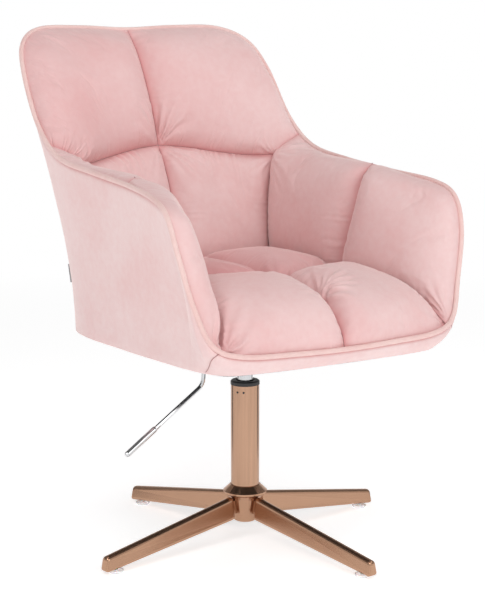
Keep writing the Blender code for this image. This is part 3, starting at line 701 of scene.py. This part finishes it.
def gathered(surface, gathers, seed):
    """The surface with the small folds that gathered seams throw, fading away from each seam."""
    rows, columns, _ = surface.shape
    from_edges, along_edges = edge_steps(rows, columns)
    lift = np.zeros(rows * columns)
    for edge, (amount, away, along) in enumerate(zip(gathers, from_edges, along_edges)):
        steps = np.arange(max(rows, columns))
        row = seed * 3.3 + edge * 7.7
        place = [Vector((k * CLOTH_STEP / GATHER_PATCH, row, 0.5)) for k in steps]
        wander = np.array([noise.noise(p) for p in place])
        vigour = np.array([noise.noise(p + Vector((0, 0, 5.0))) for p in place])
        fold = np.sin(2 * math.pi * steps * CLOTH_STEP / FOLD_PITCH + 8.0 * wander)
        fold *= np.clip(0.15 + 2.6 * vigour, 0, 1.4)
        reach = GATHER_REACH * (1 + 0.8 * wander)
        away = away * CLOTH_STEP
        lift += amount * fold[along] * np.exp(-away / reach[along]) * np.clip(away / GATHER_START, 0, 1)
    lift = FOLD_HEIGHT * lift + KNOT_HEIGHT * knot_folds(surface, seed)
    lift[np.minimum.reduce(from_edges) == 0] = 0
    return surface + lift.reshape(rows, columns, 1) * normals(surface)


def knot_folds(surface, seed):
    """Folds that radiate from the places on a panel's rim where the seams are drawn in."""
    rows, columns, _ = surface.shape
    i, j = np.divmod(np.arange(rows * columns), columns)
    lift = np.zeros(rows * columns)
    on_left = surface[rows // 2, columns // 2, 0] > 0
    points = surface.reshape(-1, 3) * np.array([1 if on_left else -1, 1, 1])
    for crossing, left, right in KNOTS:
        gap = np.linalg.norm(points - crossing, axis=1)
        knot = gap.argmin()
        if gap[knot] > KNOT_CATCH:
            continue
        near = np.flatnonzero(gap < 4 * KNOT_REACH)
        away = np.hypot(i - i[knot], j - j[knot])[near] * CLOTH_STEP
        angle = np.arctan2(i - i[knot], j - j[knot])[near]
        place = [Vector((a * 1.8, r / 0.05, seed * 2.3)) for a, r in zip(angle, away)]
        wander = np.array([noise.noise(p) for p in place])
        fold = np.sin(KNOT_FOLDS * angle + 3.0 * wander + seed) * (0.7 + 1.2 * wander)
        fold *= np.exp(-away / KNOT_REACH) * np.clip((away - 0.003) / 0.014, 0, 1)
        lift[near] += (left if on_left else right) * fold
    return lift


def sewn_cloth(name, surface, gathers):
    """Velvet cut larger than the outline that it is sewn to, with foam pushing behind it.
    gathers says how much spare cloth is taken up along the top, bottom, left and right."""
    rows, columns, _ = surface.shape
    obj = mesh_object(name, surface.reshape(-1, 3), grid_faces(rows, columns))
    from_edges, _ = edge_steps(rows, columns)
    rim = np.minimum.reduce(from_edges) == 0
    obj.vertex_groups.new(name="sewn").add(np.flatnonzero(rim).tolist(), 1.0, "REPLACE")
    spare = sum(g * np.exp(-steps * CLOTH_STEP / GATHER_REACH) for g, steps in zip(gathers, from_edges))
    group = obj.vertex_groups.new(name="spare")
    for k, weight in enumerate(np.clip(spare, 0, 1).tolist()):
        group.add([k], weight, "REPLACE")
    cloth = obj.modifiers.new("cloth", "CLOTH")
    settings = cloth.settings
    settings.quality = 5
    settings.mass = 0.15
    settings.tension_stiffness = settings.compression_stiffness = 18
    settings.shear_stiffness = 8
    settings.bending_stiffness = 0.08
    settings.air_damping = 3.0
    settings.vertex_group_mass = "sewn"
    settings.vertex_group_shrink = "spare"
    settings.shrink_min = -SPARE_CLOTH
    settings.shrink_max = -SPARE_GATHERED
    settings.use_pressure = True
    settings.uniform_pressure_force = PRESSURE
    settings.effector_weights.gravity = 0.0
    cloth.collision_settings.use_collision = False
    cloth.point_cache.frame_end = SETTLE_FRAMES + 1
    return obj


def settle(cloths):
    """Runs every cloth together and returns where their points come to rest."""
    scene = bpy.context.scene
    for step in range(1, SETTLE_FRAMES + 1):
        scene.frame_set(step)
    graph = bpy.context.evaluated_depsgraph_get()
    settled = []
    for obj in cloths:
        mesh = obj.evaluated_get(graph).data
        co = np.zeros(len(mesh.vertices) * 3)
        mesh.vertices.foreach_get("co", co)
        settled.append(co.reshape(-1, 3).copy())
    scene.frame_set(1)
    for obj in cloths:
        bpy.data.objects.remove(obj)
    return settled


def lifted(surface, height, fullness, level):
    """The foam's crowned shape under the cloth. fullness says how steeply it rises from the
    top, bottom, left and right edges; level, from 0 to 1, keeps the crown from rising in Z."""
    rows, columns, _ = surface.shape
    v = np.linspace(-1, 1, rows)[:, None, None]
    u = np.linspace(-1, 1, columns)[None, :, None]
    top, bottom, left, right = fullness
    down = 1 - abs(v) ** np.where(v < 0, top, bottom)
    across = 1 - abs(u) ** np.where(u < 0, left, right)
    return surface + height * down * across * normals(surface) * np.array([1, 1, 1 - level])


def pad_edge(rows, columns):
    """Pairs of neighbouring grid points right round a pad's edge."""
    ring = list(range(columns))
    ring += [i * columns + columns - 1 for i in range(1, rows)]
    ring += [(rows - 1) * columns + j for j in range(columns - 2, -1, -1)]
    ring += [i * columns for i in range(rows - 2, 0, -1)]
    return list(zip(ring, ring[1:] + ring[:1]))


def mark_creases(obj, pairs):
    """Keeps the given edges sharp when the mesh is subdivided."""
    keys = np.zeros(len(obj.data.edges) * 2, int)
    obj.data.edges.foreach_get("vertices", keys)
    keys = np.sort(keys.reshape(-1, 2), axis=1)
    sharp = {tuple(sorted(pair)) for pair in pairs}
    crease = obj.data.attributes.new("crease_edge", "FLOAT", "EDGE")
    crease.data.foreach_set("value", [1.0 if tuple(k) in sharp else 0.0 for k in keys.tolist()])


def painted_seam_shade(surface, seamed, nap):
    """Painted shade for the velvet: the panel's nap tone, partly the pile's lean and partly painted
    shade that is darker towards -X, plus painted shade deepening towards each seam and, more faintly,
    towards each ungathered edge.
    """
    rows, columns, _ = surface.shape
    from_edges, _ = edge_steps(rows, columns)
    shade = nap * (1 - surface.reshape(-1, 3)[:, 0] / SHADE_ACROSS)
    for amount, steps in zip(seamed, from_edges):
        away = steps * CLOTH_STEP
        if amount > 0:
            fall = sum(strength * np.exp(-away / reach) for strength, reach in SEAM_SHADE)
            shade += (0.5 + 0.5 * amount) * fall
        else:
            shade += RIM_SHADE * np.exp(-away / RIM_SHADE_REACH)
    return np.clip(shade, 0, 1)


def closed_pad(name, front, surface, seamed, depth, nap):
    """A closed pad: the puffed face, a plain back and an edge between them."""
    rows, columns, _ = front.shape
    v = np.linspace(-1, 1, rows)[:, None, None]
    u = np.linspace(-1, 1, columns)[None, :, None]
    back = surface - (PAD_EDGE + depth * (1 - u**2) * (1 - v**2)) * normals(surface)
    verts = np.vstack([front.reshape(-1, 3), back.reshape(-1, 3)]) + AXIS
    count = rows * columns
    face = grid_faces(rows, columns)
    edge = pad_edge(rows, columns)
    faces = face + [tuple(k + count for k in quad[::-1]) for quad in face]
    faces += [(b, a, a + count, b + count) for a, b in edge]
    obj = mesh_object(name, verts, faces)
    mark_creases(obj, edge)
    mark_nap_and_painted_shade(obj, np.tile(painted_seam_shade(surface, seamed, nap), 2))
    obj.data.materials.append(FINISHES["velvet"])
    obj.data.shade_smooth()
    smooth = obj.modifiers.new("subdivision", "SUBSURF")
    smooth.levels = smooth.render_levels = 1
    return obj


def rim_line(first, last):
    """The line just inside the piping where the padding is sewn to it."""
    drop = np.array([0, 0, RIM_DROP])
    stations = np.linspace(first, last, RIM_SAMPLES)
    return [at_station(RIM, s) + RIM_INSET * inward_at(s) - drop for s in stations]


# edges, fullness and gathers run top, bottom, left, right. puff is the crown's height, depth the
# back's. level keeps the crown from rising in Z, and nap is how deep the panel's tone is: partly the
# pile's lean, partly painted shade.
Panel = namedtuple("Panel", "edges puff fullness level gathers depth nap node")
Cut = namedtuple("Cut", "name node plan surface raised gathers")


def panel_plans():
    corner = SEAM_CORNER_TOP + SEAM_CORNER_LOW[1:]
    arm_top, arm_front = rim_line(ARM_SEAM, FRONT_CORNER), rim_line(FRONT_CORNER, ARM_END)
    return {
        "back_upper": Panel(
            edges=(rim_line(0, KINK), SEAM_LEVEL, SEAM_BACK_TOP, SEAM_CORNER_TOP),
            puff=0.032, fullness=(4, 8, 9, 5), level=0.2, gathers=(0, 0.35, 0.5, 0.8),
            depth=0.006, nap=0.18, node="back_pad_upper",
        ),
        "back_lower": Panel(
            edges=(SEAM_LEVEL, SEAT_REAR, SEAM_BACK_LOW, SEAM_CORNER_LOW),
            puff=0.028, fullness=(8, 4, 8, 8), level=0.3, gathers=(1.1, 0.1, 0.4, 0.3),
            depth=0.006, nap=0.0, node="back_pad_lower",
        ),
        "arm_rear": Panel(
            edges=(rim_line(KINK, ARM_SEAM), SEAT_SIDE_REAR, corner, SEAM_ARM),
            puff=0.026, fullness=(5, 4, 7, 8), level=0.8, gathers=(0, 0.1, 0.3, 0.45),
            depth=0.006, nap=0.04, node="arm_pad_rear",
        ),
        "arm_front": Panel(
            edges=(arm_top, SEAT_SIDE_FRONT, SEAM_ARM, arm_front),
            puff=0.034, fullness=(6, 5, 8, 8), level=0.9, gathers=(0, 0.6, 0.3, 0),
            depth=0.004, nap=0.05, node="arm_pad_front",
        ),
        "seat_rear": Panel(
            edges=(SEAT_REAR, SEAT_LATERAL, SEAT_CENTRE_REAR, SEAT_SIDE_REAR),
            puff=0.044, fullness=(5, 8, 8, 5), level=0.0, gathers=(0.1, 0.5, 0.5, 0.2),
            depth=0.030, nap=0.62, node="seat_cushion",
        ),
        "seat_front": Panel(
            edges=(SEAT_LATERAL, rim_line(LAST, ARM_END), SEAT_CENTRE_FRONT, SEAT_SIDE_FRONT),
            puff=0.044, fullness=(8, 3, 9, 6), level=0.0, gathers=(0.6, 0.2, 0.7, 1.2),
            depth=0.020, nap=0.04, node="seat_cushion",
        ),
    }


def swapped(edges):
    top, bottom, left, right = edges
    return top, bottom, right, left


def cut_panels():
    """Both halves of every panel, raised over their foam and facing the sitter."""
    cuts = []
    for number, (name, plan) in enumerate(panel_plans().items()):
        half = panel_surface(*plan.edges)
        for side, sign in (("left", 1.0), ("right", -1.0)):
            mirrored = half * np.array([sign, 1.0, 1.0])
            surface = facing(mirrored, SITTER)
            turned = surface is not mirrored
            fullness = swapped(plan.fullness) if turned else plan.fullness
            gathers = swapped(plan.gathers) if turned else plan.gathers
            crowned = lifted(surface, plan.puff, fullness, plan.level)
            raised = gathered(crowned, gathers, 2 * number + sign)
            node = plan.node if plan.node == "seat_cushion" else f"{plan.node}_{side}"
            cuts.append(Cut(f"{name}_{side}", node, plan, surface, raised, gathers))
    return cuts


def add_upholstery():
    cuts = cut_panels()
    fronts = settle([sewn_cloth(cut.name, cut.raised, cut.gathers) for cut in cuts])
    for front, (name, node, plan, surface, _, gathers) in zip(fronts, cuts):
        front = front.reshape(surface.shape)
        pad = closed_pad(f"{name}_pad", front, surface, gathers, plan.depth, plan.nap)
        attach(pad, "seat")
        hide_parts(node)


# ---------------------------------------------------------------- shell and piping
ROUND_COLUMNS = 640
SHELL_ROWS = 34
SHELL_THICK = 0.004
KNEE = 0.36  # height of the wall's control point, as a share of the wall
FRONT_FULLNESS = 0.9
FRONT_FROM, FRONT_OVER = 10.5, 1.5  # stations where the front starts to fill out, and over which
HEM = ((0.0015, 0.0018), (0.005, 0.0038), (0.012, 0.0046), (0.030, 0.0046))  # rows: inset and drop
WALL_WAVES = 0.075  # size of the wall's unevenness
PUCKER_WAVES, PUCKER_PITCH, PUCKER_REACH = 0.03, 0.013, 0.014
CORNER_LEAN = 1.75  # stations that the corner seam leans back over its fall
CORNER_OUT = 0.0026
SEAM_R, SEAM_SIDES, SEAM_POINTS = 0.0007, 8, 40
PIPING_SWELL = 0.0034
PIPING_COLUMNS, PIPING_SIDES = 900, 16
TWIST_DEPTH, TWIST_PITCH = 0.00012, 0.0075


def round_point(points, station):
    """A curve read at a station right round the chair."""
    if station <= LAST:
        return at_station(points, station)
    point = at_station(points, 2 * LAST - station).copy()
    point[0] *= -1
    return point


def round_inward(station):
    inward = inward_at(min(station, 2 * LAST - station)).copy()
    if station > LAST:
        inward[0] *= -1
    return inward


def even_stations(count):
    """Stations evenly spaced along the rim's length, and that length."""
    fine = np.linspace(0, 2 * LAST, 200 * LAST + 1)
    line = np.array([round_point(RIM, s) for s in fine])
    along = np.concatenate([[0], np.cumsum(np.linalg.norm(np.diff(line, axis=0), axis=1))])
    return np.interp(np.linspace(0, along[-1], count, endpoint=False), along, fine), along[-1]


def wall_point(station, t):
    """The shell's wall at a station, from the rim at t = 0 to the foot at t = 1."""
    rim = round_point(RIM, station)
    foot = np.append(round_point([(x, y, 0) for x, y in FOOT], station)[:2], SEAM_Z_FOOT)
    folded = min(station, 2 * LAST - station)
    spread = FRONT_FULLNESS * np.clip((folded - FRONT_FROM) / FRONT_OVER, 0, 1)
    rise = np.array([0, 0, KNEE * (rim[2] - foot[2])])
    knee = foot + spread * (rim - foot) * np.array([1, 1, 0]) + rise
    return (1 - t) ** 2 * rim + 2 * t * (1 - t) * knee + t**2 * foot


def shell_skin(stations):
    """Rows of points down the wall and round its hem."""
    rows = [[wall_point(s, t) for s in stations] for t in np.linspace(0, 1, SHELL_ROWS) ** 1.5]
    for inset, drop in HEM:
        down = np.array([0, 0, drop])
        rows.append([wall_point(s, 1.0) + inset * round_inward(s) - down for s in stations])
    return np.array(rows)


def shell_relief(outer, fall, length):
    """How far the padding stands out: unevenness, puckers at the piping and the swell below it."""
    arc = np.linspace(0, length, ROUND_COLUMNS, endpoint=False)
    swell = waves(outer.reshape(-1, 3), WALL_WAVES, 5).reshape(fall.shape)
    wander = waves(outer[0], PUCKER_WAVES, 9)
    pucker = np.sin(2 * math.pi * arc / PUCKER_PITCH + 3.0 * wander) * (0.6 + 0.6 * wander)
    out = 0.0012 * swell * np.clip(fall / 0.03, 0, 1) + 0.0005 * pucker * np.exp(-fall / PUCKER_REACH)
    rise = np.clip((fall - 0.6 * PIPING_R) / 0.008, 0, 1)
    out += PIPING_SWELL * rise * rise * (3 - 2 * rise) - 0.0006
    return out


def add_shell():
    stations, length = even_stations(ROUND_COLUMNS)
    inward = np.array([round_inward(s) for s in stations])
    outer = shell_skin(stations)
    fall = np.linalg.norm(outer - outer[:1], axis=2)
    outer = outer - shell_relief(outer, fall, length)[:, :, None] * inward[None]
    inner = (outer[:SHELL_ROWS] + SHELL_THICK * inward[None])[::-1]
    inner[-1] = outer[0] + 0.0015 * inward
    loop = np.vstack([outer, outer[-1:] + np.array([0, 0, 0.002]), inner])
    faces = grid_faces(*loop.shape[:2], wrap=True, close=True)
    shell = mesh_object("velvet_shell", loop.reshape(-1, 3) + AXIS, [f[::-1] for f in faces])
    # Painted shade: a narrow dark band on the shell just below the piping, where its shadow falls.
    crease = np.zeros(loop.shape[:2])
    crease[: len(fall)] = 0.9 * np.exp(-(((fall - PIPING_R) / 0.0022) ** 2))
    mark_nap_and_painted_shade(shell, crease.ravel())
    # Painted light: the outside of the shell gets the lighter copy of the velvet.
    shell.data.materials.append(FINISHES["outer_velvet"])
    shell.data.shade_smooth()
    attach(shell, "seat")
    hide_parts("outer_shell")


def corner_seam():
    """The line where the shell's side panel meets its front band, leaning back as it falls."""
    line = []
    top = wall_point(CORNER_SEAM, 0.06)[2]
    for share in np.linspace(0, 1, 24):
        station = CORNER_SEAM - CORNER_LEAN * share
        steps = np.linspace(0, 1, 80)
        heights = [wall_point(station, t)[2] for t in steps]
        t = np.interp(-(top + (SEAM_Z_FOOT - top) * share), -np.array(heights), steps)
        line.append(wall_point(station, t) - CORNER_OUT * round_inward(station))
    return np.array(line)


def add_seams():
    """The sewn line at the bottom of every crease between the puffs, and the seam at each front corner:
    a real seam cord, in a dark pink that paints the shadow along it.
    """
    middle = [SEAM_BACK_TOP, SEAM_BACK_LOW, SEAT_CENTRE_REAR, SEAT_CENTRE_FRONT]
    sides = [SEAM_LEVEL, SEAM_CORNER_TOP[1:] + SEAM_CORNER_LOW[1:], SEAM_ARM[1:]]
    sides += [SEAT_SIDE_REAR + SEAT_SIDE_FRONT[1:], SEAT_REAR, SEAT_LATERAL]
    lines = [spline(points, SEAM_POINTS) for points in middle]
    for sign in (1.0, -1.0):
        mirror = np.array([sign, 1, 1])
        lines += [spline(points, SEAM_POINTS) * mirror for points in sides]
        lines.append(corner_seam() * mirror)
    for number, line in enumerate(lines):
        seam = tube(f"seam_{number}", line, SEAM_R, SEAM_SIDES)
        seam.data.materials.append(FINISHES["seam_thread"])
        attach(seam, "seat")


def tube(name, line, radius, sides):
    """A round bar along a line, closed at both ends."""
    ahead = unit(np.gradient(line, axis=0))
    across = unit(np.cross(ahead, np.array([0.3, 0.2, 1.0])))
    up = np.cross(across, ahead)
    angles = [2 * math.pi * k / sides for k in range(sides)]
    rings = []
    for point, c, u in zip(line, across, up):
        rings += [point + radius * (math.cos(a) * c + math.sin(a) * u) for a in angles]
    faces = grid_faces(len(line), sides, wrap=True)
    faces += [tuple(range(sides))[::-1], tuple(len(rings) - sides + k for k in range(sides))]
    obj = mesh_object(name, np.array(rings) + AXIS, faces)
    obj.data.shade_smooth()
    return obj


def add_piping():
    stations, length = even_stations(PIPING_COLUMNS)
    line = np.array([round_point(RIM, s) for s in stations])
    ahead = unit(np.roll(line, -1, axis=0) - np.roll(line, 1, axis=0))
    inward = np.array([round_inward(s) for s in stations])
    side = unit(inward - (inward * ahead).sum(axis=1)[:, None] * ahead)
    up = np.cross(ahead, side)
    arc = np.linspace(0, length, len(line), endpoint=False)
    lumps = 0.0001 * waves(line, 0.012, 3)
    verts = []
    for k in range(PIPING_SIDES):
        angle = 2 * math.pi * k / PIPING_SIDES
        twist = TWIST_DEPTH * np.sin(2 * math.pi * arc / TWIST_PITCH + angle) + lumps
        radius = PIPING_R + twist
        verts.append(line + radius[:, None] * (math.cos(angle) * side + math.sin(angle) * up))
    faces = grid_faces(PIPING_SIDES, PIPING_COLUMNS, wrap=True, close=True)
    piping = mesh_object("piping", np.array(verts).reshape(-1, 3) + AXIS, faces)
    piping.data.materials.append(FINISHES["piping_velvet"])
    piping.data.shade_smooth()
    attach(piping, "seat")
    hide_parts("rim_piping")


add_camera()
add_light()
add_floor()
finish_cad_nodes()
add_upholstery()
add_shell()
add_piping()
add_seams()
